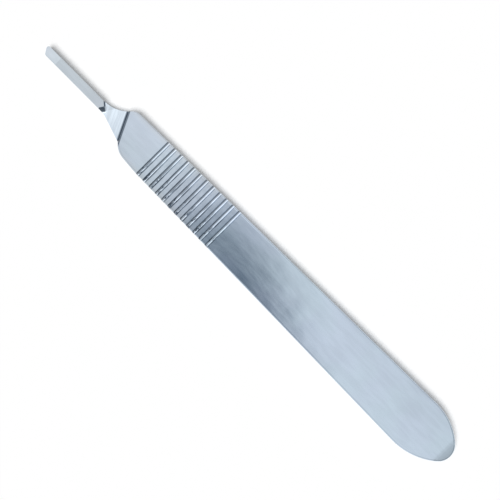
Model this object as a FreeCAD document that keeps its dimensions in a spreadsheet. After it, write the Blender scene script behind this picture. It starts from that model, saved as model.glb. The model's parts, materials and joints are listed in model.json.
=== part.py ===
import FreeCAD, Part
import Sketcher

import math
import os

from FreeCAD import Placement, Rotation, Vector

# A flat stainless scalpel handle of the small-blade fitting, made in one piece.
# It lies on its back face in the XY plane, the blade end towards +X and the blade's
# fitting facing up. The origin is under the middle of the overall length.
# Millimetres and degrees. The arched side is the -Y side, where the neck swings out in
# a hollow arc, and the sloping side is the +Y side.

# Name, value and meaning of each driving size.
SIZES = [
    ("length", 125.0, "overall length"),
    ("thickness", 2.6, "thickness of the body"),
    ("tail_width", 12.5, "greatest width, just ahead of the rounded tail"),
    ("front_width", 9.886, "body's width where its straight sides start"),
    ("tail_sloping_radius", 15.5, "long arc that draws the tail in on the sloping side"),
    ("tail_arched_radius", 13.0, "long arc that draws the tail in on the arched side"),
    ("tail_end_radius", 3.5, "round end of the tail"),
    ("tail_end_offset", 0.2, "middle of that end off the middle line, to the arched side"),
    ("tail_bevel_angle", 12.0, "slant of the bevel on each face at the tail's end"),
    ("tail_bevel_run", 2.0, "length of that bevel"),
    ("tail_bevel_radius", 2.5, "soft start of that bevel"),
    ("edge_radius", 0.45, "rounding of the body's long edges"),
    ("tang_length", 16.95, "tip to the start of the arched neck"),
    ("tang_width", 2.03, "width of the narrow tang that carries the blade"),
    ("tang_offset", 0.26, "tang's middle line off the body's, to the arched side"),
    ("tip_angle", 32.0, "slant of the tang's end"),
    ("tip_arched_radius", 0.5, "tip corner on the arched side"),
    ("tip_sloping_radius", 0.6, "tip corner on the sloping side"),
    ("arch_share", 0.789, "radius of the neck's hollow arc, as a share of the front width"),
    ("arch_angle", 45.0, "steepest slant of the arched side"),
    ("arch_corner_share", 0.263, "radius of the corner behind the arc, likewise"),
    ("slope_delay", 1.5, "sloping side starts this far behind the arched side"),
    ("slope_blend_radius", 3.0, "blend from the tang into the sloping side"),
    ("slope_share", 0.29, "sloping side's end off the middle line, as a share of the front width"),
    ("neck_length", 8.4, "tang's end to the foot of the steep corner"),
    ("steep_foot_radius", 0.4, "inner corner at the foot of the steep side"),
    ("steep_angle", 42.0, "short steep side of the body's corner"),
    ("steep_corner_share", 0.425, "radius of the corner behind the steep side, likewise"),
    ("ease_angle", 5.0, "slant of the body's side just behind that corner"),
    ("ease_radius", 40.0, "blend of that side into the straight taper"),
    ("ease_end", 16.9, "tang's end to the start of the straight taper"),
    ("seat_depth", 0.95, "blade seat below the body's front face"),
    ("shoulder_reach", 7.4, "tang's end to the shoulder's crest, on the middle line"),
    ("shoulder_angle", 64.2, "slant of the shoulder across the handle"),
    ("shoulder_run", 0.62, "width of the shoulder's wall in plan"),
    ("shoulder_foot_radius", 0.3, "hollow at the foot of the shoulder's wall"),
    ("point_reach", 1.0, "tang's end to the boss's point"),
    ("point_offset", 0.45, "boss's point off the body's middle line"),
    ("point_arched_angle", 40.0, "slant of the point's arched side"),
    ("point_sloping_angle", 57.0, "slant of the point's sloping side"),
    ("boss_drop", 0.1, "boss's top below the body's front face"),
    ("nose_run", 4.0, "length of the ramp on the boss's nose"),
    ("nose_drop", 0.2, "height of that ramp"),
    ("slot_height", 0.45, "height of the undercut that holds the blade"),
    ("slot_depth", 0.3, "depth of the undercut on each side"),
    ("slot_length", 9.0, "length of the undercut from the tip"),
    ("hollow_depth", 0.45, "foot of the point's sloping side, below the seat"),
    ("hollow_width", 1.3, "from that foot to where the hollow runs out in the seat"),
    ("relief_depth", 0.3, "back of the tang above the resting plane"),
    ("relief_run", 3.6, "length of the ramp from the relief to the back face"),
    ("grip_start", 16.62, "tang's end to the middle of the first groove"),
    ("groove_count", 12, "grip grooves on each face"),
    ("groove_pitch", 1.95, "spacing of the grooves"),
    ("groove_width", 0.92, "width of a groove at the face"),
    ("groove_depth", 0.3, "depth of a groove"),
    ("clearance", 2.0, "how far a cutting outline stands clear of the metal"),
]

size = {name: value for name, value, meaning in SIZES}

# Booleans treat points this close as one, well below the smallest face.
FUSE_WITHIN = 1e-6

# A cut that takes away fewer cubic millimetres than this has missed the metal.
LEAST_CUT = 1e-3

# The rise of a face's normal: the most on an upright side, the least on a face or its slopes.
UPRIGHT_RISE, FACE_RISE = 0.01, 0.5

# Sizes and places that several features share, each with its expression in the sheet.
ARCH_RADIUS, ARCH_RADIUS_AT = (
    size["arch_share"] * size["front_width"], "Sizes.arch_share * Sizes.front_width")
ARCH_CORNER, ARCH_CORNER_AT = (
    size["arch_corner_share"] * size["front_width"], "Sizes.arch_corner_share * Sizes.front_width")
STEEP_CORNER, STEEP_CORNER_AT = (
    size["steep_corner_share"] * size["front_width"],
    "Sizes.steep_corner_share * Sizes.front_width")
SLOPE_TOP, SLOPE_TOP_AT = (
    size["slope_share"] * size["front_width"], "Sizes.slope_share * Sizes.front_width")
TIP, TIP_AT = size["length"] / 2, "Sizes.length / 2"
TANG_END, TANG_END_AT = TIP - size["tang_length"], TIP_AT + " - Sizes.tang_length"
ARCHED_SIDE = -size["tang_width"] / 2 - size["tang_offset"]
ARCHED_SIDE_AT = "-Sizes.tang_width / 2 - Sizes.tang_offset"
SLOPING_SIDE = size["tang_width"] / 2 - size["tang_offset"]
SLOPING_SIDE_AT = "Sizes.tang_width / 2 - Sizes.tang_offset"
POINT, POINT_AT = TANG_END - size["point_reach"], TANG_END_AT + " - Sizes.point_reach"
SEAT, SEAT_AT = size["thickness"] - size["seat_depth"], "Sizes.thickness - Sizes.seat_depth"
BOSS_TOP = size["thickness"] - size["boss_drop"]
BOSS_TOP_AT = "Sizes.thickness - Sizes.boss_drop"


def unit(heading):
    """The direction of a heading in degrees, counted from +X towards +Y."""
    angle = math.radians(heading)
    return Vector(math.cos(angle), math.sin(angle), 0)


def crossing(first, first_heading, second, second_heading):
    """The point where two straight lines meet."""
    along = unit(first_heading)
    across = unit(second_heading + 90)
    return first + along * ((second - first).dot(across) / along.dot(across))


def cut_back(radius, turn):
    """The length that the rounding of a corner takes off each of its two lines."""
    return radius * math.tan(math.radians(abs(turn) / 2))


class Outline:
    """A closed outline in a sketch, drawn piece by piece, counterclockwise."""

    def __init__(self, sketch):
        self.sketch = sketch
        self.pieces = []
        self.index = {}

    def line(self, name, start, end):
        number = self.sketch.addGeometry(Part.LineSegment(start, end), False)
        self.index[name] = number
        self.pieces.append((number, 1, 2))

    def arc(self, name, centre, start, end, hollow=False):
        """An arc that bulges out of the outline, or into it where it is hollow."""
        if hollow:
            start, end = end, start
        first = math.atan2(start.y - centre.y, start.x - centre.x)
        last = math.atan2(end.y - centre.y, end.x - centre.x)
        if last < first:
            last += 2 * math.pi
        circle = Part.Circle(centre, Vector(0, 0, 1), (start - centre).Length)
        number = self.sketch.addGeometry(Part.ArcOfCircle(circle, first, last), False)
        self.index[name] = number
        self.pieces.append((number, 2, 1) if hollow else (number, 1, 2))

    def runs(self, runs, roundings):
        """Straight runs, each a name, a point and a heading, with an arc between each two.
        The first run starts and the last one ends at its own point."""
        start = runs[0][1]
        for run, following, rounding in zip(runs, runs[1:], roundings):
            name, radius = rounding
            corner = crossing(run[1], run[2], following[1], following[2])
            turn = following[2] - run[2]
            arc_start = corner - unit(run[2]) * cut_back(radius, turn)
            arc_end = corner + unit(following[2]) * cut_back(radius, turn)
            centre = arc_start + unit(run[2] + math.copysign(90, turn)) * radius
            self.line(run[0], start, arc_start)
            self.arc(name, centre, arc_start, arc_end, hollow=turn < 0)
            start = arc_end
        self.line(runs[-1][0], start, runs[-1][1])

    def polygon(self, names, points):
        for name, start, end in zip(names, points, points[1:] + points[:1]):
            self.line(name, start, end)

    def join(self, smooth=()):
        """Joins each piece to the next one, without a kink after the pieces in smooth."""
        smooth = [self.index[name] for name in smooth]
        for piece, following in zip(self.pieces, self.pieces[1:] + self.pieces[:1]):
            joint = "Tangent" if piece[0] in smooth else "Coincident"
            self.sketch.addConstraint(
                Sketcher.Constraint(joint, piece[0], piece[2], following[0], following[1]))

    def level(self, *names):
        for name in names:
            self.sketch.addConstraint(Sketcher.Constraint("Horizontal", self.index[name]))

    def upright(self, *names):
        for name in names:
            self.sketch.addConstraint(Sketcher.Constraint("Vertical", self.index[name]))

    def bind(self, name, expression, kind, *where):
        """A dimension of the sketch that follows the sheet."""
        number = self.sketch.addConstraint(Sketcher.Constraint(kind, *where))
        self.sketch.renameConstraint(number, name)
        self.sketch.setExpression("Constraints." + name, expression)

    def radius(self, piece, expression):
        number = self.index[piece]
        value = self.sketch.Geometry[number].Radius
        self.bind(piece + "_radius", expression, "Radius", number, value)

    def heading(self, piece, expression):
        number = self.index[piece]
        line = self.sketch.Geometry[number]
        along = line.EndPoint - line.StartPoint
        self.bind(piece + "_heading", expression, "Angle", number, math.atan2(along.y, along.x))

    def place(self, piece, point, across=None, up=None):
        """The place of a piece's start (1), end (2) or centre (3), by the two expressions."""
        number = self.index[piece]
        at = self.sketch.getPoint(number, point)
        name = "{}_{}".format(piece, point)
        if across:
            self.bind(name + "_across", across, "DistanceX", -1, 1, number, point, at.x)
        if up:
            self.bind(name + "_up", up, "DistanceY", -1, 1, number, point, at.y)


def new_sketch(body, name, plane, lift=None):
    """A sketch on one of the body's own planes, or lifted off it by an expression."""
    sketch = body.newObject("Sketcher::SketchObject", name)
    support = [feature for feature in body.Origin.OriginFeatures if feature.Role == plane][0]
    sketch.AttachmentSupport = (support, [""])
    sketch.MapMode = "FlatFace"
    if lift:
        sketch.setExpression("AttachmentOffset.Base.z", lift)
    return sketch


def cut(body, name, sketch, depth=None):
    """A pocket down to a depth below the sketch, or right through on both sides of it."""
    before = body.Tip.Shape.Volume
    pocket = body.newObject("PartDesign::Pocket", name)
    pocket.Profile = sketch
    pocket.Refine = True
    pocket.FuzzyTolerance = FUSE_WITHIN
    if depth:
        pocket.Type = "Length"
        pocket.setExpression("Length", depth)
    else:
        pocket.Type = "ThroughAll"
        pocket.SideType = "Symmetric"
    body.Document.recompute()
    if pocket.Shape.isNull() or pocket.Shape.Volume > before - LEAST_CUT:
        raise RuntimeError(name + " takes nothing away")
    return pocket


def round_rim(body, name, radius, facing):
    """A fillet where a face that looks up (1) or down (-1) meets an upright side."""
    base = body.Tip
    picked = []
    for number, edge in enumerate(base.Shape.Edges, 1):
        middle = edge.valueAt((edge.FirstParameter + edge.LastParameter) / 2)
        rises = []
        for face in base.Shape.ancestorsOfType(edge, Part.Face):
            rises.append(face.normalAt(*face.Surface.parameter(middle)).z * facing)
        if len(rises) == 2 and max(rises) > FACE_RISE and abs(min(rises)) < UPRIGHT_RISE:
            picked.append("Edge{}".format(number))
    fillet = body.newObject("PartDesign::Fillet", name)
    fillet.Base = (base, picked)
    fillet.setExpression("Radius", radius)
    body.Document.recompute()
    if fillet.Shape.isNull() or not fillet.Shape.isValid():
        raise RuntimeError(name + " can't be rounded")
    return fillet


def mirrored(point):
    return Vector(point.x, -point.y)


def tail_arc(radius, end_centre, taper_start):
    """The long arc between a straight side and the tail's round end, on the +Y side: its
    centre, where it starts and ends, and the heading of the side that runs into it."""
    arm = radius - size["tail_end_radius"]
    height = size["tail_width"] / 2 - radius
    rise = end_centre.y - height
    centre = Vector(end_centre.x + math.sqrt(arm ** 2 - rise ** 2), height)
    reach = centre - taper_start
    heading = math.degrees(math.atan2(reach.y, reach.x) % (2 * math.pi)
                           - math.asin(radius / reach.Length))
    start = centre + unit(heading - 90) * radius
    end = end_centre + (end_centre - centre).normalize() * size["tail_end_radius"]
    return centre, start, end, heading


def draw_blank(body):
    """The handle's whole outline, as the blank is punched from sheet."""
    outline = Outline(new_sketch(body, "BlankOutline", "XY_Plane"))

    # The round end of the tail, and the two arcs that touch it and the straight sides.
    end_centre = Vector(-TIP + size["tail_end_radius"], -size["tail_end_offset"])
    taper_start = Vector(TANG_END - size["ease_end"], size["front_width"] / 2)
    sloping_centre, sloping_start, sloping_end, side_heading = tail_arc(
        size["tail_sloping_radius"], end_centre, taper_start)
    arched_centre, arched_start, arched_end, arched_heading = tail_arc(
        size["tail_arched_radius"], mirrored(end_centre), taper_start)

    # One point and the heading of each straight run, from the tip's slant to the tail.
    tip_centre = Vector(TIP - size["tip_arched_radius"], ARCHED_SIDE + size["tip_arched_radius"])
    tip_heading = 90 + size["tip_angle"]
    tip_start = tip_centre + unit(tip_heading - 90) * size["tip_arched_radius"]
    slope_end = Vector(TANG_END - size["neck_length"], SLOPE_TOP)
    slope_start = Vector(TANG_END - size["slope_delay"], SLOPING_SIDE)
    rise = math.degrees(math.atan2(slope_end.y - slope_start.y, slope_start.x - slope_end.x))
    slope_corner = slope_start - Vector(cut_back(size["slope_blend_radius"], rise), 0)
    along = slope_end - slope_corner
    slope_heading = math.degrees(math.atan2(along.y, along.x))
    steep_heading = 180 - size["steep_angle"]
    foot_cut = cut_back(size["steep_foot_radius"], steep_heading - slope_heading)
    steep_foot = slope_end + unit(slope_heading) * foot_cut
    ease_heading = 180 - size["ease_angle"]
    ease_cut = cut_back(size["ease_radius"], side_heading - ease_heading)
    ease_corner = taper_start - unit(side_heading) * ease_cut
    outline.runs(
        [("tip", tip_start, tip_heading),
         ("tang_sloping", slope_corner, 180),
         ("slope", slope_corner, slope_heading),
         ("steep", steep_foot, steep_heading),
         ("ease", ease_corner, ease_heading),
         ("side_sloping", sloping_start, side_heading)],
        [("tip_sloping", size["tip_sloping_radius"]),
         ("slope_blend", size["slope_blend_radius"]),
         ("steep_foot", size["steep_foot_radius"]),
         ("steep_corner", STEEP_CORNER),
         ("ease_blend", size["ease_radius"])])

    outline.arc("tail_sloping", sloping_centre, sloping_start, sloping_end)
    outline.arc("tail_end", end_centre, sloping_end, mirrored(arched_end))
    outline.arc("tail_arched", mirrored(arched_centre), mirrored(arched_end),
                mirrored(arched_start))

    # The straight runs back to the tip on the arched side.
    arch_corner = Vector(TANG_END - cut_back(ARCH_RADIUS, size["arch_angle"]), ARCHED_SIDE)
    tip_corner = crossing(tip_start, tip_heading, arch_corner, 0)
    outline.runs(
        [("side_arched", mirrored(arched_start), 180 - arched_heading),
         ("arch_slant", arch_corner, size["arch_angle"]),
         ("tang_arched", Vector(tip_corner.x - cut_back(size["tip_arched_radius"], tip_heading),
                                ARCHED_SIDE), 0)],
        [("arch_corner", ARCH_CORNER),
         ("arch", ARCH_RADIUS)])
    outline.arc("tip_arched", tip_centre, tip_centre - Vector(0, size["tip_arched_radius"]),
                tip_start)
    outline.join(smooth=outline.index)
    bind_blank(outline)
    return outline.sketch


def bind_blank(outline):
    """Ties the blank's outline to the sheet."""
    outline.level("tang_sloping", "tang_arched")
    outline.heading("tip", "90 + Sizes.tip_angle")
    outline.heading("steep", "180 - Sizes.steep_angle")
    outline.heading("ease", "180 - Sizes.ease_angle")
    outline.heading("arch_slant", "Sizes.arch_angle")
    for piece in ("tip_sloping", "tip_arched", "slope_blend", "steep_foot", "tail_sloping",
                  "tail_end", "tail_arched"):
        outline.radius(piece, "Sizes.{}_radius".format(piece))
    outline.radius("arch", ARCH_RADIUS_AT)
    outline.radius("arch_corner", ARCH_CORNER_AT)
    outline.radius("steep_corner", STEEP_CORNER_AT)
    outline.radius("ease_blend", "Sizes.ease_radius")
    outline.place("tip_arched", 3, across=TIP_AT + " - Sizes.tip_arched_radius")
    outline.place("tang_sloping", 2, across=TANG_END_AT + " - Sizes.slope_delay",
                  up=SLOPING_SIDE_AT)
    outline.place("tang_arched", 1, across=TANG_END_AT, up=ARCHED_SIDE_AT)
    outline.place("slope", 2, across=TANG_END_AT + " - Sizes.neck_length", up=SLOPE_TOP_AT)
    outline.place("side_sloping", 1, across=TANG_END_AT + " - Sizes.ease_end",
                  up="Sizes.front_width / 2")
    outline.place("tail_sloping", 3, up="Sizes.tail_width / 2 - Sizes.tail_sloping_radius")
    outline.place("tail_arched", 3, up="Sizes.tail_arched_radius - Sizes.tail_width / 2")
    outline.place("tail_end", 3, across="Sizes.tail_end_radius - " + TIP_AT,
                  up="-Sizes.tail_end_offset")

    # The arched side passes a mark that mirrors the start of the sloping side's taper.
    sketch, taper = outline.sketch, outline.index["side_sloping"]
    mark = sketch.addGeometry(Part.Point(mirrored(sketch.getPoint(taper, 1))), True)
    sketch.addConstraint(Sketcher.Constraint("Symmetric", taper, 1, mark, 1, -1))
    sketch.addConstraint(
        Sketcher.Constraint("PointOnObject", mark, 1, outline.index["side_arched"]))


def make_blank(body):
    pad = body.newObject("PartDesign::Pad", "Blank")
    pad.Profile = draw_blank(body)
    pad.setExpression("Length", "Sizes.thickness")
    body.Document.recompute()


def bevel_tail(body, name, face, face_at, outwards):
    """Bevels one face down to the tail's end, with a soft start. outwards is 1 on the front
    face and -1 on the back face."""
    outline = Outline(new_sketch(body, name + "Profile", "XZ_Plane"))
    clear, radius = size["clearance"], size["tail_bevel_radius"]
    angle = size["tail_bevel_angle"] * outwards
    corner = Vector(-TIP + size["tail_bevel_run"], face)
    start = corner + Vector(cut_back(radius, angle), 0)
    blend_end = corner - unit(angle) * cut_back(radius, angle)
    slope_end = crossing(corner, angle, Vector(-TIP - clear, 0), 90)
    top = face + clear * outwards
    outline.arc("blend", start - Vector(0, radius * outwards), start, blend_end,
                hollow=outwards < 0)
    outline.line("slope", blend_end, slope_end)
    outline.line("end_side", slope_end, Vector(slope_end.x, top))
    outline.line("top", Vector(slope_end.x, top), Vector(start.x, top))
    outline.line("start_side", Vector(start.x, top), start)
    outline.join(smooth=["blend"])
    outline.level("top")
    outline.upright("end_side", "start_side")
    start_at = "Sizes.tail_bevel_run + Sizes.tail_bevel_radius * tan(Sizes.tail_bevel_angle / 2)"
    start_at += " - " + TIP_AT
    outline.radius("blend", "Sizes.tail_bevel_radius")
    outline.place("blend", 3, across=start_at)
    outline.place("start_side", 2, across=start_at, up=face_at)
    if outwards > 0:
        outline.heading("slope", "Sizes.tail_bevel_angle - 180")
        top_at = face_at + " + Sizes.clearance"
    else:
        outline.heading("slope", "180 - Sizes.tail_bevel_angle")
        top_at = face_at + " - Sizes.clearance"
    outline.place("end_side", 2, across="-{} - Sizes.clearance".format(TIP_AT), up=top_at)
    cut(body, name, outline.sketch)


def cut_seat(body):
    """The blade's seat: all the metal between the boss's point and the shoulder's foot."""
    outline = Outline(new_sketch(body, "SeatOutline", "XY_Plane", "Sizes.thickness"))
    reach = size["tail_width"] / 2
    point = Vector(POINT, -size["point_offset"])
    shoulder_heading = 180 - size["shoulder_angle"]
    foot = Vector(TANG_END - size["shoulder_reach"]
                  + size["shoulder_run"] / math.sin(math.radians(size["shoulder_angle"])), 0)
    arched_limit, sloping_limit = Vector(0, -reach), Vector(0, reach)
    outline.polygon(
        ["point_arched", "arched_limit", "foot", "sloping_limit", "point_sloping"],
        [point,
         crossing(point, -size["point_arched_angle"], arched_limit, 0),
         crossing(foot, shoulder_heading, arched_limit, 0),
         crossing(foot, shoulder_heading, sloping_limit, 0),
         crossing(point, size["point_sloping_angle"], sloping_limit, 0)])
    outline.join()
    outline.level("arched_limit", "sloping_limit")
    outline.heading("point_arched", "-Sizes.point_arched_angle")
    outline.heading("point_sloping", "Sizes.point_sloping_angle - 180")
    outline.heading("foot", "180 - Sizes.shoulder_angle")
    outline.place("point_arched", 1, across=POINT_AT, up="-Sizes.point_offset")
    outline.place("arched_limit", 1, up="-Sizes.tail_width / 2")
    outline.place("sloping_limit", 1, up="Sizes.tail_width / 2")
    # The foot line is placed by where it would cross the middle line.
    run_at = "Sizes.shoulder_run / sin(Sizes.shoulder_angle)"
    outline.place("foot", 1, across="{} - Sizes.shoulder_reach + {} + Sizes.tail_width / 2"
                  " / tan(Sizes.shoulder_angle)".format(TANG_END_AT, run_at))
    cut(body, "Seat", outline.sketch, "Sizes.seat_depth")


def slope_shoulder(body):
    """The shoulder's leaning wall and the hollow at its foot, cut along the shoulder."""
    sketch = new_sketch(body, "ShoulderProfile", "XZ_Plane")
    sketch.AttachmentOffset = Placement(
        Vector(), Rotation(Vector(0, 1, 0), 90 - size["shoulder_angle"]))
    sketch.setExpression("AttachmentOffset.Base.x", TANG_END_AT + " - Sizes.shoulder_reach")
    sketch.setExpression("AttachmentOffset.Rotation.Angle", "90 - Sizes.shoulder_angle")
    outline = Outline(sketch)
    crest = Vector(0, size["thickness"])
    floor = Vector(size["shoulder_run"], SEAT)
    radius = size["shoulder_foot_radius"]
    centre = floor + Vector(0, radius)
    towards = centre - crest
    lean = math.degrees(math.atan2(towards.y, towards.x) - math.asin(radius / towards.Length))
    touch = crest + unit(lean) * math.sqrt(towards.Length ** 2 - radius ** 2)
    top = size["thickness"] + size["clearance"]
    clear = floor + Vector(size["clearance"], 0)
    outline.line("wall", crest, touch)
    outline.arc("hollow", centre, touch, floor)
    outline.line("floor", floor, clear)
    outline.line("front_side", clear, Vector(clear.x, top))
    outline.line("top", Vector(clear.x, top), Vector(0, top))
    outline.line("crest_side", Vector(0, top), crest)
    outline.join(smooth=["wall", "hollow"])
    outline.level("floor", "top")
    outline.upright("front_side", "crest_side")
    outline.place("wall", 1, up="Sizes.thickness")
    outline.sketch.addConstraint(
        Sketcher.Constraint("PointOnObject", outline.index["wall"], 1, -2))
    outline.radius("hollow", "Sizes.shoulder_foot_radius")
    outline.place("floor", 1, across="Sizes.shoulder_run", up=SEAT_AT)
    outline.place("top", 1, across="Sizes.shoulder_run + Sizes.clearance",
                  up="Sizes.thickness + Sizes.clearance")
    cut(body, "Shoulder", sketch)


def lower_boss(body):
    """Takes the boss's top down a little and ramps its nose."""
    outline = Outline(new_sketch(body, "BossProfile", "XZ_Plane"))
    clear = size["clearance"]
    rear, front = POINT - clear, TIP + clear
    nose, nose_low = TIP - size["nose_run"], BOSS_TOP - size["nose_drop"]
    top = size["thickness"] + clear
    outline.polygon(
        ["boss_top", "nose_ramp", "nose_floor", "front_side", "top", "rear_side"],
        [Vector(rear, BOSS_TOP), Vector(nose, BOSS_TOP), Vector(TIP, nose_low),
         Vector(front, nose_low), Vector(front, top), Vector(rear, top)])
    outline.join()
    outline.level("boss_top", "nose_floor", "top")
    outline.upright("front_side", "rear_side")
    outline.place("boss_top", 1, across=POINT_AT + " - Sizes.clearance", up=BOSS_TOP_AT)
    outline.place("nose_ramp", 1, across=TIP_AT + " - Sizes.nose_run")
    outline.place("nose_ramp", 2, across=TIP_AT, up=BOSS_TOP_AT + " - Sizes.nose_drop")
    outline.place("front_side", 2, across=TIP_AT + " + Sizes.clearance",
                  up="Sizes.thickness + Sizes.clearance")
    cut(body, "BossTop", outline.sketch)


def cut_slot(body):
    """The undercut round the front of the boss, into which the blade's slot slides."""
    outline = Outline(new_sketch(body, "SlotOutline", "XY_Plane", SEAT_AT + " + Sizes.slot_height"))
    clear = size["clearance"]
    rear, front = TIP - size["slot_length"], TIP + clear
    inner_low, inner_high = ARCHED_SIDE + size["slot_depth"], SLOPING_SIDE - size["slot_depth"]
    centre = Vector(TIP - size["slot_depth"] - size["tang_width"] / 2, -size["tang_offset"])
    outline.line("arched_root", Vector(rear, inner_low), Vector(centre.x, inner_low))
    outline.arc("nose_root", centre, Vector(centre.x, inner_low), Vector(centre.x, inner_high))
    outline.line("sloping_root", Vector(centre.x, inner_high), Vector(rear, inner_high))
    outline.line("sloping_end", Vector(rear, inner_high), Vector(rear, SLOPING_SIDE + clear))
    outline.line("sloping_side", Vector(rear, SLOPING_SIDE + clear),
                 Vector(front, SLOPING_SIDE + clear))
    outline.line("front_side", Vector(front, SLOPING_SIDE + clear),
                 Vector(front, ARCHED_SIDE - clear))
    outline.line("arched_side", Vector(front, ARCHED_SIDE - clear),
                 Vector(rear, ARCHED_SIDE - clear))
    outline.line("arched_end", Vector(rear, ARCHED_SIDE - clear), Vector(rear, inner_low))
    outline.join(smooth=["arched_root", "nose_root"])
    outline.level("arched_root", "sloping_root", "sloping_side", "arched_side")
    outline.upright("sloping_end", "front_side", "arched_end")
    rear_at = TIP_AT + " - Sizes.slot_length"
    outline.place("arched_root", 1, across=rear_at, up=ARCHED_SIDE_AT + " + Sizes.slot_depth")
    outline.place("sloping_root", 2, across=rear_at, up=SLOPING_SIDE_AT + " - Sizes.slot_depth")
    outline.place("nose_root", 3, across=TIP_AT + " - Sizes.slot_depth - Sizes.tang_width / 2")
    outline.place("sloping_side", 2, across=TIP_AT + " + Sizes.clearance",
                  up=SLOPING_SIDE_AT + " + Sizes.clearance")
    outline.place("arched_side", 1, up=ARCHED_SIDE_AT + " - Sizes.clearance")
    cut(body, "BladeSlot", outline.sketch, "Sizes.slot_height")


def hollow_behind_boss(body):
    """The hollow along the sloping side of the boss's point, deepest at the boss's foot."""
    sketch = new_sketch(body, "HollowProfile", "XZ_Plane")
    sketch.AttachmentOffset = Placement(
        Vector(), Rotation(Vector(0, 1, 0), size["point_sloping_angle"] - 90))
    sketch.setExpression("AttachmentOffset.Base.x", POINT_AT)
    sketch.setExpression("AttachmentOffset.Base.z", "Sizes.point_offset")
    sketch.setExpression("AttachmentOffset.Rotation.Angle", "Sizes.point_sloping_angle - 90")
    outline = Outline(sketch)
    width, top = size["hollow_width"], size["thickness"] + size["clearance"]
    outline.polygon(
        ["floor", "boss_side", "top", "run_out"],
        [Vector(-width, SEAT), Vector(0, SEAT - size["hollow_depth"]), Vector(0, top),
         Vector(-width, top)])
    outline.join()
    outline.level("top")
    outline.upright("run_out")
    outline.sketch.addConstraint(
        Sketcher.Constraint("PointOnObject", outline.index["boss_side"], 1, -2))
    outline.sketch.addConstraint(
        Sketcher.Constraint("PointOnObject", outline.index["boss_side"], 2, -2))
    outline.place("floor", 1, across="-Sizes.hollow_width", up=SEAT_AT)
    outline.place("boss_side", 1, up=SEAT_AT + " - Sizes.hollow_depth")
    outline.place("top", 1, up="Sizes.thickness + Sizes.clearance")
    cut(body, "Hollow", sketch, "Sizes.tail_width")


def relieve_back(body):
    """Lifts the back of the tang off the resting plane, with a ramp under the neck."""
    outline = Outline(new_sketch(body, "ReliefProfile", "XZ_Plane"))
    clear = size["clearance"]
    ramp_top = Vector(TANG_END - size["slope_delay"], size["relief_depth"])
    ramp_foot = Vector(ramp_top.x - size["relief_run"], 0)
    outline.polygon(
        ["ramp", "rear_side", "floor", "front_side", "tang_back"],
        [ramp_top, ramp_foot, Vector(ramp_foot.x, -clear), Vector(TIP + clear, -clear),
         Vector(TIP + clear, ramp_top.y)])
    outline.join()
    outline.level("floor", "tang_back")
    outline.upright("rear_side", "front_side")
    outline.place("ramp", 1, across=TANG_END_AT + " - Sizes.slope_delay", up="Sizes.relief_depth")
    outline.place("rear_side", 1,
                  across=TANG_END_AT + " - Sizes.slope_delay - Sizes.relief_run")
    outline.sketch.addConstraint(
        Sketcher.Constraint("PointOnObject", outline.index["rear_side"], 1, -1))
    outline.place("front_side", 1, across=TIP_AT + " + Sizes.clearance", up="-Sizes.clearance")
    cut(body, "Relief", outline.sketch)


def cut_grooves(body):
    """The grip: round-bottomed grooves right across the front and back faces."""
    sketch = new_sketch(body, "GrooveProfile", "XZ_Plane")
    outline = Outline(sketch)
    half, depth = size["groove_width"] / 2, size["groove_depth"]
    radius = (half ** 2 + depth ** 2) / (2 * depth)
    middle = TANG_END - size["grip_start"]
    thickness = size["thickness"]
    middle_at = TANG_END_AT + " - Sizes.grip_start"
    radius_at = "(Sizes.groove_width ^ 2 / 4 + Sizes.groove_depth ^ 2) / (2 * Sizes.groove_depth)"
    for name, height, height_at in (
            ("front", thickness - depth + radius,
             "Sizes.thickness - Sizes.groove_depth + " + radius_at),
            ("back", depth - radius, "Sizes.groove_depth - " + radius_at)):
        circle = Part.Circle(Vector(middle, height), Vector(0, 0, 1), radius)
        outline.index[name] = sketch.addGeometry(circle, False)
        outline.radius(name, radius_at)
        outline.place(name, 3, across=middle_at, up=height_at)
    first = cut(body, "Groove", sketch)

    pattern = body.newObject("PartDesign::LinearPattern", "Grooves")
    pattern.Originals = [first]
    pattern.Direction = (sketch, ["H_Axis"])
    pattern.Reversed = True
    pattern.Mode = "Spacing"
    pattern.setExpression("Offset", "Sizes.groove_pitch")
    pattern.setExpression("Occurrences", "Sizes.groove_count")
    body.Tip = pattern
    body.Document.recompute()


def make_handle(doc):
    body = doc.addObject("PartDesign::Body", "Handle")
    body.Label = "scalpel_handle"
    make_blank(body)
    bevel_tail(body, "FrontBevel", size["thickness"], "Sizes.thickness", 1)
    bevel_tail(body, "BackBevel", 0.0, "0", -1)
    round_rim(body, "FrontEdges", "Sizes.edge_radius", 1)
    round_rim(body, "BackEdges", "Sizes.edge_radius", -1)
    cut_seat(body)
    slope_shoulder(body)
    lower_boss(body)
    hollow_behind_boss(body)
    relieve_back(body)
    cut_slot(body)
    cut_grooves(body)
    return body


def check(doc, bodies):
    """Stops the build where a feature failed or a solid isn't sound."""
    for item in doc.Objects:
        if "Invalid" in item.State or "Error" in item.State:
            raise RuntimeError("{} failed: {}".format(item.Name, item.State))
    for body in bodies:
        shape = body.Shape
        if shape.isNull() or not shape.isValid() or len(shape.Solids) != 1:
            raise RuntimeError(body.Label + " isn't one sound solid")


def main():
    doc = FreeCAD.newDocument("ScalpelHandle")
    sheet = doc.addObject("Spreadsheet::Sheet", "Sizes")
    for row, (name, value, meaning) in enumerate(SIZES, 1):
        sheet.set("A{}".format(row), name)
        sheet.set("B{}".format(row), str(value))
        sheet.set("C{}".format(row), meaning)
        sheet.setAlias("B{}".format(row), name)
    doc.recompute()
    handle = make_handle(doc)
    doc.recompute()
    check(doc, [handle])
    os.makedirs("parts", exist_ok=True)
    handle.Shape.exportStep("parts/{}.step".format(handle.Label))
    box = handle.Shape.optimalBoundingBox()
    print("{}: {:.3f} x {:.3f} x {:.3f} mm, {:.1f} mm3".format(
        handle.Label, box.XLength, box.YLength, box.ZLength, handle.Shape.Volume))


main()
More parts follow.
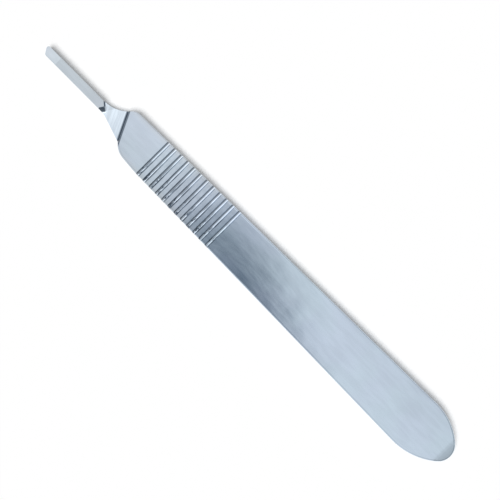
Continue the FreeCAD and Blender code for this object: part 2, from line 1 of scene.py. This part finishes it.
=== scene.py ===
import json
import math

import bpy
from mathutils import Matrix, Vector

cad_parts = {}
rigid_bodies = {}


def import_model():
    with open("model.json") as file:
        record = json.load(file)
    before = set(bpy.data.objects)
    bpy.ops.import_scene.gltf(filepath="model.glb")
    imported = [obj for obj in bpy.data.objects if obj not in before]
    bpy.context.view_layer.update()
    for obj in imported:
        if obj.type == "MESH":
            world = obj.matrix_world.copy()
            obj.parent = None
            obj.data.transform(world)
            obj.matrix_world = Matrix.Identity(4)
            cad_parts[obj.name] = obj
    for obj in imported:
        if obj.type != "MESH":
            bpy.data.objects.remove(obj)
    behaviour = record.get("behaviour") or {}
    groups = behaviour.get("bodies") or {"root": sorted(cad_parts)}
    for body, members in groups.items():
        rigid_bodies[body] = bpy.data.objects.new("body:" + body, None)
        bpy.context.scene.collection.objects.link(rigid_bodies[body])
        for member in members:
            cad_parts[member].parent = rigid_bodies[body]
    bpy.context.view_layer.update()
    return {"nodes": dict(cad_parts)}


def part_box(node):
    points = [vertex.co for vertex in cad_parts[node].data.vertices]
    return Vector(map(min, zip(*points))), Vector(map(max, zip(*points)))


# A satin steel scalpel handle that lies flat on a white table, seen from straight above.
# +X runs to the tip of the tang, +Z up off the table, and +Y to the lower left of the picture.
# The neck is arched at its -Y side and slopes at its +Y side, and both sides are named so.
# Lengths are in metres. Headings are in degrees from +X, seen from above.

MM = 0.001

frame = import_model()

# Places on the handle. The blade's seat lies between the shoulder and the boss's point.
TAIL_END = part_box("scalpel_handle")[0].x
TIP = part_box("scalpel_handle")[1].x
TANG_END = TIP - 16.95 * MM
SHOULDER = Vector((TANG_END - 7.4 * MM, 0, 0))
SHOULDER_HEADING = 115.8
SHOULDER_RUN = 0.62 * MM
POINT = Vector((TANG_END - 1.0 * MM, -0.45 * MM, 0))
POINT_ARCHED_HEADING = -40.0
POINT_SLOPING_HEADING = -123.0
SEAT_HEIGHT = 1.65 * MM
MIDDLE_HEIGHT = 1.3 * MM
BEVEL_START = TAIL_END + 1.9 * MM

# The grip: the middle of its first groove, and how the grooves follow.
FIRST_GROOVE = TANG_END - 16.62 * MM
GROOVE_COUNT = 12
GROOVE_PITCH = 1.95 * MM
GROOVE_WIDTH = 0.92 * MM

# Bands in a groove, from its middle towards the tip: the bed with its dark specks, the foot of
# the tail wall and a strip over the middle, both with painted shade, and the shaded tip wall.
GROOVE_BED = (-0.37 * MM, 0.37 * MM)
TAIL_FOOT = (-0.54 * MM, -0.26 * MM)
SHADE_STRIP = (-0.3 * MM, 0.1 * MM)
TIP_WALL = (0.08 * MM, 0.42 * MM)
TIP_WALL_SHADE = 0.55

# Where across the handle the specks and each painted shade in the grooves start and are
# thickest.
SPECKS_ACROSS = (-1 * MM, 4 * MM)
FOOT_ACROSS = (-4 * MM, 0.5 * MM)
SHADE_STRIP_ACROSS = (-3 * MM, -0.5 * MM)

# The steel's tones: the body, the less blue tang, the seat's painted highlight, and a dark
# tone for the painted shade in the milled corners and grooves, and for the grooves' dark
# specks.
BODY_TONE = (0.535, 0.635, 0.735, 1)
TANG_TONE = (0.545, 0.604, 0.66, 1)
SEAT_HIGHLIGHT_TONE = (0.80, 0.90, 1.0, 1)
SHADE_AND_SPECK_TONE = (0.08, 0.105, 0.14, 1)

# How much of the tang's tone the front of the body takes, its rims on top of that, and the
# tang. The front and the rims have the places where they begin and where they are in full.
FRONT_WARMTH = 0.4
RIM_WARMTH = 0.5
TANG_WARMTH = 0.6
FRONT = (5 * MM, 20 * MM)
RIM = (3.4 * MM, 4.8 * MM)

# The seat's painted highlight fades between these places across the handle, towards its
# sloping side.
SEAT_HIGHLIGHT_FADE = (-0.5 * MM, 2.5 * MM)
SEAT_HIGHLIGHT_LEAST = 0.65

# Painted shade in the milled corners: the shoulder's wall, and at the boss's point the hollow
# on the sloping side and the narrow foot on the arched side.
WALL_SHADE = 0.95
WALL_BEHIND = 0.2 * MM
WALL_AHEAD = 0.05 * MM
HOLLOW_WIDTH = 0.9 * MM
HOLLOW_SHADES = (0.6, 0.15)
ARCHED_FOOT_WIDTH = 0.25 * MM
SHADE_BOTTOM = 0.9 * MM

# The tail bevel's start is softened with painted light: a painted shade just ahead of it and a
# painted highlight just behind it.
BEVEL_DARKER = 0.08
BEVEL_LIGHTER = 0.14

# Clouds over the whole handle change its tone and its polish.
CLOUD_SIZE = 9 * MM
CLOUD_BOUNDS = (0.3, 0.7)
CLOUD_TONES = (0.965, 1.035)
CLOUD_ROUGHNESS = (0.092, 0.136)

# Random patches: their size, how they are turned and drawn out, and their range. The smears
# and the grain change the tone, and the tints the hue, where 0.5 is no change.
SMEARS = dict(size=1.0 * MM, length=6.0, low=-0.025, high=0.025)
GRAIN = dict(size=0.22 * MM, turn=90, length=7.0, low=-0.05, high=0.05)
TINTS = dict(size=11 * MM, low=0.496, high=0.512)
SEAT_LINES = dict(size=0.5 * MM, turn=SHOULDER_HEADING, length=12.0, low=0.55)
SPECKS = dict(size=0.5 * MM, turn=90, length=2.0, bounds=(0.5, 0.62))
# Patches of painted shade in the grooves: at the tail wall's foot, and in a strip over the
# middle.
FOOT_SHADE_PATCHES = dict(size=1.4 * MM, turn=90, length=1.6, bounds=(0.35, 0.6), low=0.3, high=0.9)
STRIP_SHADE_PATCHES = dict(size=1.8 * MM, turn=90, length=1.8, bounds=(0.42, 0.58), high=0.5)

# The ground faces are crowned from edge to edge with a radius, and not quite even.
CROWN_RADIUS = 120 * MM
WAVE_SIZE = 9 * MM
WAVE_HEIGHT = 0.07 * MM
RIPPLE_SIZE = 2.2 * MM
RIPPLE_LENGTH = 3.0
RIPPLE_HEIGHT = 0.025 * MM

# The camera hangs over the handle, and the picture is this wide at the height of its outline.
CAMERA_OVER = Vector((0.11, -0.97)) * MM
CAMERA_HEIGHT = 220 * MM
CAMERA_NEAREST = 10 * MM
OUTLINE_HEIGHT = 2.0 * MM
PICTURE_WIDTH = 108.75 * MM
CAMERA_TURN = 225.2

# The lamp stands to the lower left, near the camera, and is as wide as this angle.
LAMP_TILT = 22.0
LAMP_LEAN = 6.0
LAMP_SPREAD = 32.0
LAMP_SHARE = 0.75

# The white table lies a hair under the handle, and glows a little where it is seen.
TABLE_WIDTH = 4.0
TABLE_DROP = 0.02 * MM
TABLE_GLOW = 0.15

# Soft round areas of the room that the metal mirrors. Each has its direction, the two cosines
# to it between which its level changes, and the level at both. The two corners are darker
# than the rest, and count only overhead.
DOME = ((0.38, -0.1, 0.92), (0.15, 0.72), (0.38, 1.041))
SLOPING_SIDE = ((0, 1, 0), (0.4, 0.7), (0.0, 0.9))
TIP_SIDE = ((0.69, 0, 0.72), (0.87, 1.0), (0.0, 0.6))
TAIL_CORNER = ((-0.6, -0.5, 0.62), (0.534, 1.0), (0.0, 0.21))
TIP_CORNER = ((0.45, 0.6, 0.66), (0.639, 1.0), (0.0, 0.33))
OVERHEAD = ((0, 0, 1), (0.6, 0.85), (0.0, 1.0))
ROOM_DARKEST = 0.05
WHITE = (1, 1, 1, 1)

# The unlit strip of the room where the camera and its stand are. It runs along Y and leans up
# to a point on its way. It has a round end and a wide soft edge, and gets half as dark towards
# the sloping side. Its depth is what it takes from each colour.
GAP_MIDDLE = 0.015
GAP_LEAN = 0.186
GAP_LEAN_END = 0.12
GAP_TIP_WIDTH = 0.116
GAP_TAIL_WIDTH = 0.128
GAP_ROUND_START = 0.487
GAP_ROUND_LENGTH = 0.722
GAP_EDGE = (0.362, 1.145)
GAP_HALVING = (0.15, 0.5)
GAP_DEPTHS = {"Red": 0.946, "Green": 0.901, "Blue": 0.844}


def add_node(tree, kind, inputs=(), **settings):
    """A node with its settings and inputs. An input is a number, a colour or a socket."""
    made = tree.nodes.new("ShaderNode" + kind)
    for name, value in settings.items():
        setattr(made, name, value)
    for key, value in dict(inputs).items():
        if isinstance(value, bpy.types.NodeSocket):
            tree.links.new(value, made.inputs[key])
        else:
            made.inputs[key].default_value = value
    return made


def maths(tree, operation, first, second=0.0):
    return add_node(tree, "Math", {0: first, 1: second}, operation=operation).outputs[0]


def combined(tree, operation, values):
    """One value from several, two at a time from the left."""
    result = values[0]
    for value in values[1:]:
        result = maths(tree, operation, result, value)
    return result


def plus(tree, *values):
    return combined(tree, "ADD", values)


def times(tree, *values):
    return combined(tree, "MULTIPLY", values)


def largest(tree, *values):
    return combined(tree, "MAXIMUM", values)


def ramp(tree, value, low, high, to_low=0.0, to_high=1.0):
    """A soft step from to_low to to_high while the value goes from low to high."""
    return add_node(tree, "MapRange",
                    {"Value": value, "From Min": low, "From Max": high,
                     "To Min": to_low, "To Max": to_high},
                    interpolation_type="SMOOTHSTEP").outputs["Result"]


def within(tree, value, low, high, soft):
    """1 while a value is between two bounds, with soft ends."""
    return times(tree, ramp(tree, value, low - soft, low + soft),
                 ramp(tree, value, high - soft, high + soft, 1.0, 0.0))


def mixed(tree, share, first, second):
    """A tone between two, each a colour or a socket."""
    return add_node(tree, "Mix", {"Factor": share, 6: first, 7: second},
                    data_type="RGBA").outputs[2]


def seen(tree):
    """1 for the rays that show a surface, straight or mirrored in metal, 0 for its light."""
    path = add_node(tree, "LightPath").outputs
    return largest(tree, path["Is Glossy Ray"], path["Is Transmission Ray"],
                   path["Is Camera Ray"])


def blotches(tree, place, size, detail=2.0, turn=0.0, length=1.0):
    """A random tone about 0.5 in patches of a size, drawn out along a heading."""
    drawn = add_node(tree, "Mapping",
                     {"Vector": place, "Rotation": (0, 0, math.radians(turn)),
                      "Scale": (length, 1, 1)}, vector_type="TEXTURE").outputs[0]
    return add_node(tree, "TexNoise", {"Vector": drawn, "Scale": 1 / size,
                                       "Detail": detail}).outputs["Fac"]


def patches(tree, place, size, low=0.0, high=1.0, bounds=(0.35, 0.65), **drawn):
    """Random patches: low where the random tone is under its bounds, high where it is over."""
    return ramp(tree, blotches(tree, place, size, **drawn), *bounds, low, high)


def right_of(tree, place, point, heading):
    """How far a place lies to the right of a line, seen from above."""
    angle = math.radians(heading)
    side = Vector((math.sin(angle), -math.cos(angle), 0))
    along = add_node(tree, "VectorMath", {0: place, 1: side}, operation="DOT_PRODUCT")
    return maths(tree, "SUBTRACT", along.outputs["Value"], side.dot(point))


def from_shoulder(tree, place):
    """How far a place lies ahead of the shoulder's top edge."""
    return right_of(tree, place, SHOULDER, SHOULDER_HEADING)


def from_point(tree, place):
    """How far a place lies off the two edges that meet in the boss's point."""
    return (right_of(tree, place, POINT, POINT_ARCHED_HEADING),
            right_of(tree, place, POINT, POINT_SLOPING_HEADING))


def from_groove(tree, along):
    """How far a place lies past the middle of its nearest groove, towards the tip."""
    count = maths(tree, "DIVIDE", maths(tree, "SUBTRACT", along, FIRST_GROOVE), GROOVE_PITCH)
    part = maths(tree, "FRACT", plus(tree, count, 0.5))
    return times(tree, maths(tree, "SUBTRACT", part, 0.5), GROOVE_PITCH)


def make_steel():
    material = bpy.data.materials.new("satin_steel")
    material.use_nodes = True
    tree = material.node_tree
    surface = tree.nodes["Principled BSDF"]
    surface.inputs["Metallic"].default_value = 1.0
    place = add_node(tree, "TexCoord").outputs["Object"]
    parts = add_node(tree, "SeparateXYZ", {0: place}).outputs
    along, across, height = parts["X"], parts["Y"], parts["Z"]
    grip = grip_share(tree, along)
    grip_faces = times(tree, grip, face_share(tree, height))
    cloud = blotches(tree, place, CLOUD_SIZE)

    tone = polished_tone(tree, place, along, across, cloud, grip)
    # The seat's painted highlight, over the polished tone.
    tone = mixed(tree, seat_highlight_share(tree, place, across, height), tone, SEAT_HIGHLIGHT_TONE)
    # Painted shade in the milled corners and grooves, and the grooves' dark specks, in one
    # dark tone.
    for share in (corner_shade_share(tree, place, height),
                  times(tree, grip_faces, speck_share(tree, place, along, across)),
                  times(tree, grip_faces, groove_shade_share(tree, place, along, across))):
        tone = mixed(tree, share, tone, SHADE_AND_SPECK_TONE)
    roughness = ramp(tree, cloud, *CLOUD_BOUNDS, *CLOUD_ROUGHNESS)

    tree.links.new(tone, surface.inputs["Base Color"])
    tree.links.new(roughness, surface.inputs["Roughness"])
    tree.links.new(face_bump(tree, place, across), surface.inputs["Normal"])
    return material


def polished_tone(tree, place, along, across, cloud, grip):
    """The bluish body, less blue at the front and on the tang, with its uneven finish and the
    painted shade and highlight at the tail bevel's start.
    """
    front = ramp(tree, along, *FRONT)
    rim = times(tree, front, ramp(tree, maths(tree, "ABSOLUTE", across), *RIM), RIM_WARMTH)
    tang = ramp(tree, along, SHOULDER.x, TANG_END, 0.0, TANG_WARMTH)
    warmth = plus(tree, times(tree, front, FRONT_WARMTH), rim, tang)
    shade = plus(tree, ramp(tree, cloud, *CLOUD_BOUNDS, *CLOUD_TONES),
                 times(tree, patches(tree, place, **GRAIN), grip),
                 patches(tree, place, **SMEARS), bevel_shading(tree, along))
    return add_node(tree, "HueSaturation", {
        "Color": mixed(tree, maths(tree, "MINIMUM", warmth, 1.0), BODY_TONE, TANG_TONE),
        "Hue": patches(tree, place, **TINTS),
        "Value": shade}).outputs["Color"]


def bevel_shading(tree, along):
    """Painted shade just ahead of the tail bevel's start and painted highlight just behind it.
    """
    ahead = within(tree, along, BEVEL_START - 0.1 * MM, BEVEL_START + 0.5 * MM, soft=0.3 * MM)
    behind = times(tree, ramp(tree, along, BEVEL_START - 1.5 * MM, BEVEL_START - 0.2 * MM),
                   ramp(tree, along, BEVEL_START - 0.2 * MM, BEVEL_START, 1.0, 0.0))
    return maths(tree, "SUBTRACT", times(tree, behind, BEVEL_LIGHTER),
                 times(tree, ahead, BEVEL_DARKER))


def grip_share(tree, along):
    """1 on the length of the handle that the grooves cover."""
    last = FIRST_GROOVE - (GROOVE_COUNT - 1) * GROOVE_PITCH
    return within(tree, along, last - GROOVE_WIDTH / 2, FIRST_GROOVE + GROOVE_WIDTH / 2,
                  soft=0.1 * MM)


def face_share(tree, height):
    """1 on the front and back faces, 0 halfway up the sides."""
    off_middle = maths(tree, "ABSOLUTE", maths(tree, "SUBTRACT", height, MIDDLE_HEIGHT))
    return ramp(tree, off_middle, 0.6 * MM, 0.9 * MM)


def seat_highlight_share(tree, place, across, height):
    """The seat's ground finish with its grinding lines along the shoulder, in a painted
    highlight that is fainter towards its sloping side.
    """
    off_boss = ramp(tree, largest(tree, *from_point(tree, place)), -0.1 * MM, 0.1 * MM)
    floor = within(tree, height, SEAT_HEIGHT - 0.1 * MM, SEAT_HEIGHT + 0.1 * MM,
                   soft=0.03 * MM)
    off_shoulder = ramp(tree, from_shoulder(tree, place),
                        SHOULDER_RUN, SHOULDER_RUN + 0.3 * MM)
    return times(tree, off_boss, floor, patches(tree, place, **SEAT_LINES),
                 ramp(tree, across, *SEAT_HIGHLIGHT_FADE, 1.0, SEAT_HIGHLIGHT_LEAST), off_shoulder)


def corner_shade_share(tree, place, height):
    """Painted shade in the milled corners: the shoulder's wall and the hollow round the boss's
    point.
    """
    wall = within(tree, from_shoulder(tree, place), -WALL_BEHIND, SHOULDER_RUN + WALL_AHEAD,
                  soft=0.12 * MM)
    arched, sloping = from_point(tree, place)
    arched_foot = times(tree, within(tree, arched, 0.0, ARCHED_FOOT_WIDTH, soft=0.05 * MM),
                        ramp(tree, sloping, 0.2 * MM, -0.2 * MM))
    hollow = times(tree, within(tree, sloping, 0.0, HOLLOW_WIDTH, soft=0.1 * MM),
                   ramp(tree, arched, 0.0, 0.5 * MM, *HOLLOW_SHADES))
    foot = times(tree, largest(tree, arched_foot, hollow),
                 ramp(tree, height, SEAT_HEIGHT + 0.2 * MM, SEAT_HEIGHT + 0.1 * MM))
    return times(tree, largest(tree, times(tree, wall, WALL_SHADE), foot),
                 ramp(tree, height, SHADE_BOTTOM, SHADE_BOTTOM + 0.1 * MM))


def speck_share(tree, place, along, across):
    """Dark specks in the grooves, thicker towards the sloping side."""
    bed = within(tree, from_groove(tree, along), *GROOVE_BED, soft=0.12 * MM)
    return times(tree, bed, patches(tree, place, **SPECKS),
                 ramp(tree, across, *SPECKS_ACROSS, 0.05, 1.0))


def groove_shade_share(tree, place, along, across):
    """Painted shade in each groove, at its tail wall's foot and over its middle, fading
    towards the arched side, and on its tip wall.
    """
    off_middle = from_groove(tree, along)
    foot = times(tree, within(tree, off_middle, *TAIL_FOOT, soft=0.1 * MM),
                 patches(tree, place, **FOOT_SHADE_PATCHES), ramp(tree, across, *FOOT_ACROSS))
    strip_shade = times(tree, within(tree, off_middle, *SHADE_STRIP, soft=0.1 * MM),
                 patches(tree, place, **STRIP_SHADE_PATCHES), ramp(tree, across, *SHADE_STRIP_ACROSS))
    wall = times(tree, within(tree, off_middle, *TIP_WALL, soft=0.08 * MM), TIP_WALL_SHADE)
    return largest(tree, foot, strip_shade, wall)


def face_bump(tree, place, across):
    """The ground faces' crown, with a wide wave and a fine lengthwise ripple."""
    wave = times(tree, blotches(tree, place, WAVE_SIZE, detail=1.0), WAVE_HEIGHT)
    ripple = times(tree, blotches(tree, place, RIPPLE_SIZE, length=RIPPLE_LENGTH),
                   RIPPLE_HEIGHT)
    crown = times(tree, across, across, -0.5 / CROWN_RADIUS)
    return add_node(tree, "Bump", {"Height": plus(tree, wave, ripple, crown),
                                   "Strength": 1.0, "Distance": 1.0}).outputs[0]


def make_table():
    bpy.ops.mesh.primitive_plane_add(size=TABLE_WIDTH, location=(0, 0, -TABLE_DROP))
    table = bpy.context.object
    table.name = "table_top"
    material = bpy.data.materials.new("white_table")
    material.use_nodes = True
    tree = material.node_tree
    tree.nodes.clear()
    paint = add_node(tree, "BsdfDiffuse", {"Color": (1 - TABLE_GLOW,) * 3 + (1,)})
    glow = add_node(tree, "Emission", {"Strength": times(tree, seen(tree), TABLE_GLOW)})
    both = add_node(tree, "AddShader", {0: paint.outputs[0], 1: glow.outputs[0]})
    add_node(tree, "OutputMaterial", {"Surface": both.outputs[0]})
    table.data.materials.append(material)


def make_room():
    """The room: white where it is seen, shaded where metal mirrors it, dim as a light."""
    world = bpy.data.worlds.new("studio_room")
    bpy.context.scene.world = world
    world.use_nodes = True
    world.cycles.sampling_method = "NONE"
    tree = world.node_tree
    tree.nodes.clear()
    mirrored = add_node(tree, "LightPath").outputs["Is Glossy Ray"]
    back = add_node(tree, "Background", {
        "Color": mixed(tree, mirrored, WHITE, mirrored_room(tree)),
        "Strength": largest(tree, seen(tree), 1 - LAMP_SHARE)})
    add_node(tree, "OutputWorld", {"Surface": back.outputs[0]})


def mirrored_room(tree):
    """The room's lit areas, less its dim corners and the camera's gap."""
    direction = add_node(tree, "TexCoord").outputs["Generated"]
    dim = times(tree, plus(tree, area(tree, direction, *TAIL_CORNER),
                           area(tree, direction, *TIP_CORNER)),
                area(tree, direction, *OVERHEAD))
    bright = plus(tree, largest(tree, area(tree, direction, *DOME),
                                area(tree, direction, *SLOPING_SIDE)),
                  maths(tree, "SUBTRACT", area(tree, direction, *TIP_SIDE), dim))
    gap = camera_gap(tree, direction)
    return add_node(tree, "CombineColor", {
        channel: largest(tree, ROOM_DARKEST,
                         maths(tree, "SUBTRACT", bright, times(tree, gap, depth)))
        for channel, depth in GAP_DEPTHS.items()}).outputs[0]


def area(tree, direction, heading, cosines, levels):
    """A soft round area of the room about a heading."""
    cosine = add_node(tree, "VectorMath", {0: direction, 1: Vector(heading).normalized()},
                      operation="DOT_PRODUCT").outputs["Value"]
    return ramp(tree, cosine, *cosines, *levels)


def camera_gap(tree, direction):
    """1 in the unlit strip, with a wide soft edge."""
    parts = add_node(tree, "SeparateXYZ", {0: direction}).outputs
    lean = times(tree, maths(tree, "MINIMUM", parts["Y"], GAP_LEAN_END), GAP_LEAN)
    off_middle = plus(tree, maths(tree, "SUBTRACT", parts["X"], GAP_MIDDLE), lean)
    sideways = largest(tree, maths(tree, "DIVIDE", off_middle, GAP_TIP_WIDTH),
                       maths(tree, "DIVIDE", off_middle, -GAP_TAIL_WIDTH))
    endways = maths(tree, "DIVIDE", maths(tree, "SUBTRACT", parts["Y"], GAP_ROUND_START),
                    GAP_ROUND_LENGTH)
    past_end = maths(tree, "MINIMUM", endways, 0.0)
    off = add_node(tree, "CombineXYZ", {"X": sideways, "Y": past_end}).outputs[0]
    reach = add_node(tree, "VectorMath", {0: off}, operation="LENGTH").outputs["Value"]
    return times(tree, ramp(tree, reach, *GAP_EDGE, 1.0, 0.0),
                 ramp(tree, parts["Y"], *GAP_HALVING, 1.0, 0.5))


def make_lamp():
    tilt = math.radians(LAMP_TILT)
    lamp = bpy.data.lights.new("soft_lamp", "SUN")
    lamp.angle = math.radians(LAMP_SPREAD)
    lamp.energy = LAMP_SHARE * math.pi / math.cos(tilt)
    holder = bpy.data.objects.new("soft_lamp", lamp)
    bpy.context.collection.objects.link(holder)
    holder.rotation_euler = (-tilt, 0, math.radians(LAMP_LEAN))
    holder.visible_glossy = False


def make_camera():
    data = bpy.data.cameras.new("camera")
    camera = bpy.data.objects.new("camera", data)
    bpy.context.collection.objects.link(camera)
    camera.location = (CAMERA_OVER.x, CAMERA_OVER.y, CAMERA_HEIGHT + OUTLINE_HEIGHT)
    camera.rotation_euler = (0, 0, math.radians(CAMERA_TURN))
    data.lens = data.sensor_width * CAMERA_HEIGHT / PICTURE_WIDTH
    data.clip_start = CAMERA_NEAREST
    bpy.context.scene.camera = camera


for item in list(bpy.data.objects):
    if item.name in ("Cube", "Light", "Camera"):
        bpy.data.objects.remove(item)
bpy.context.scene.view_settings.view_transform = "Standard"

make_camera()
make_room()
make_lamp()
make_table()

handle = frame["nodes"]["scalpel_handle"]
handle.material_slots[0].material = make_steel()
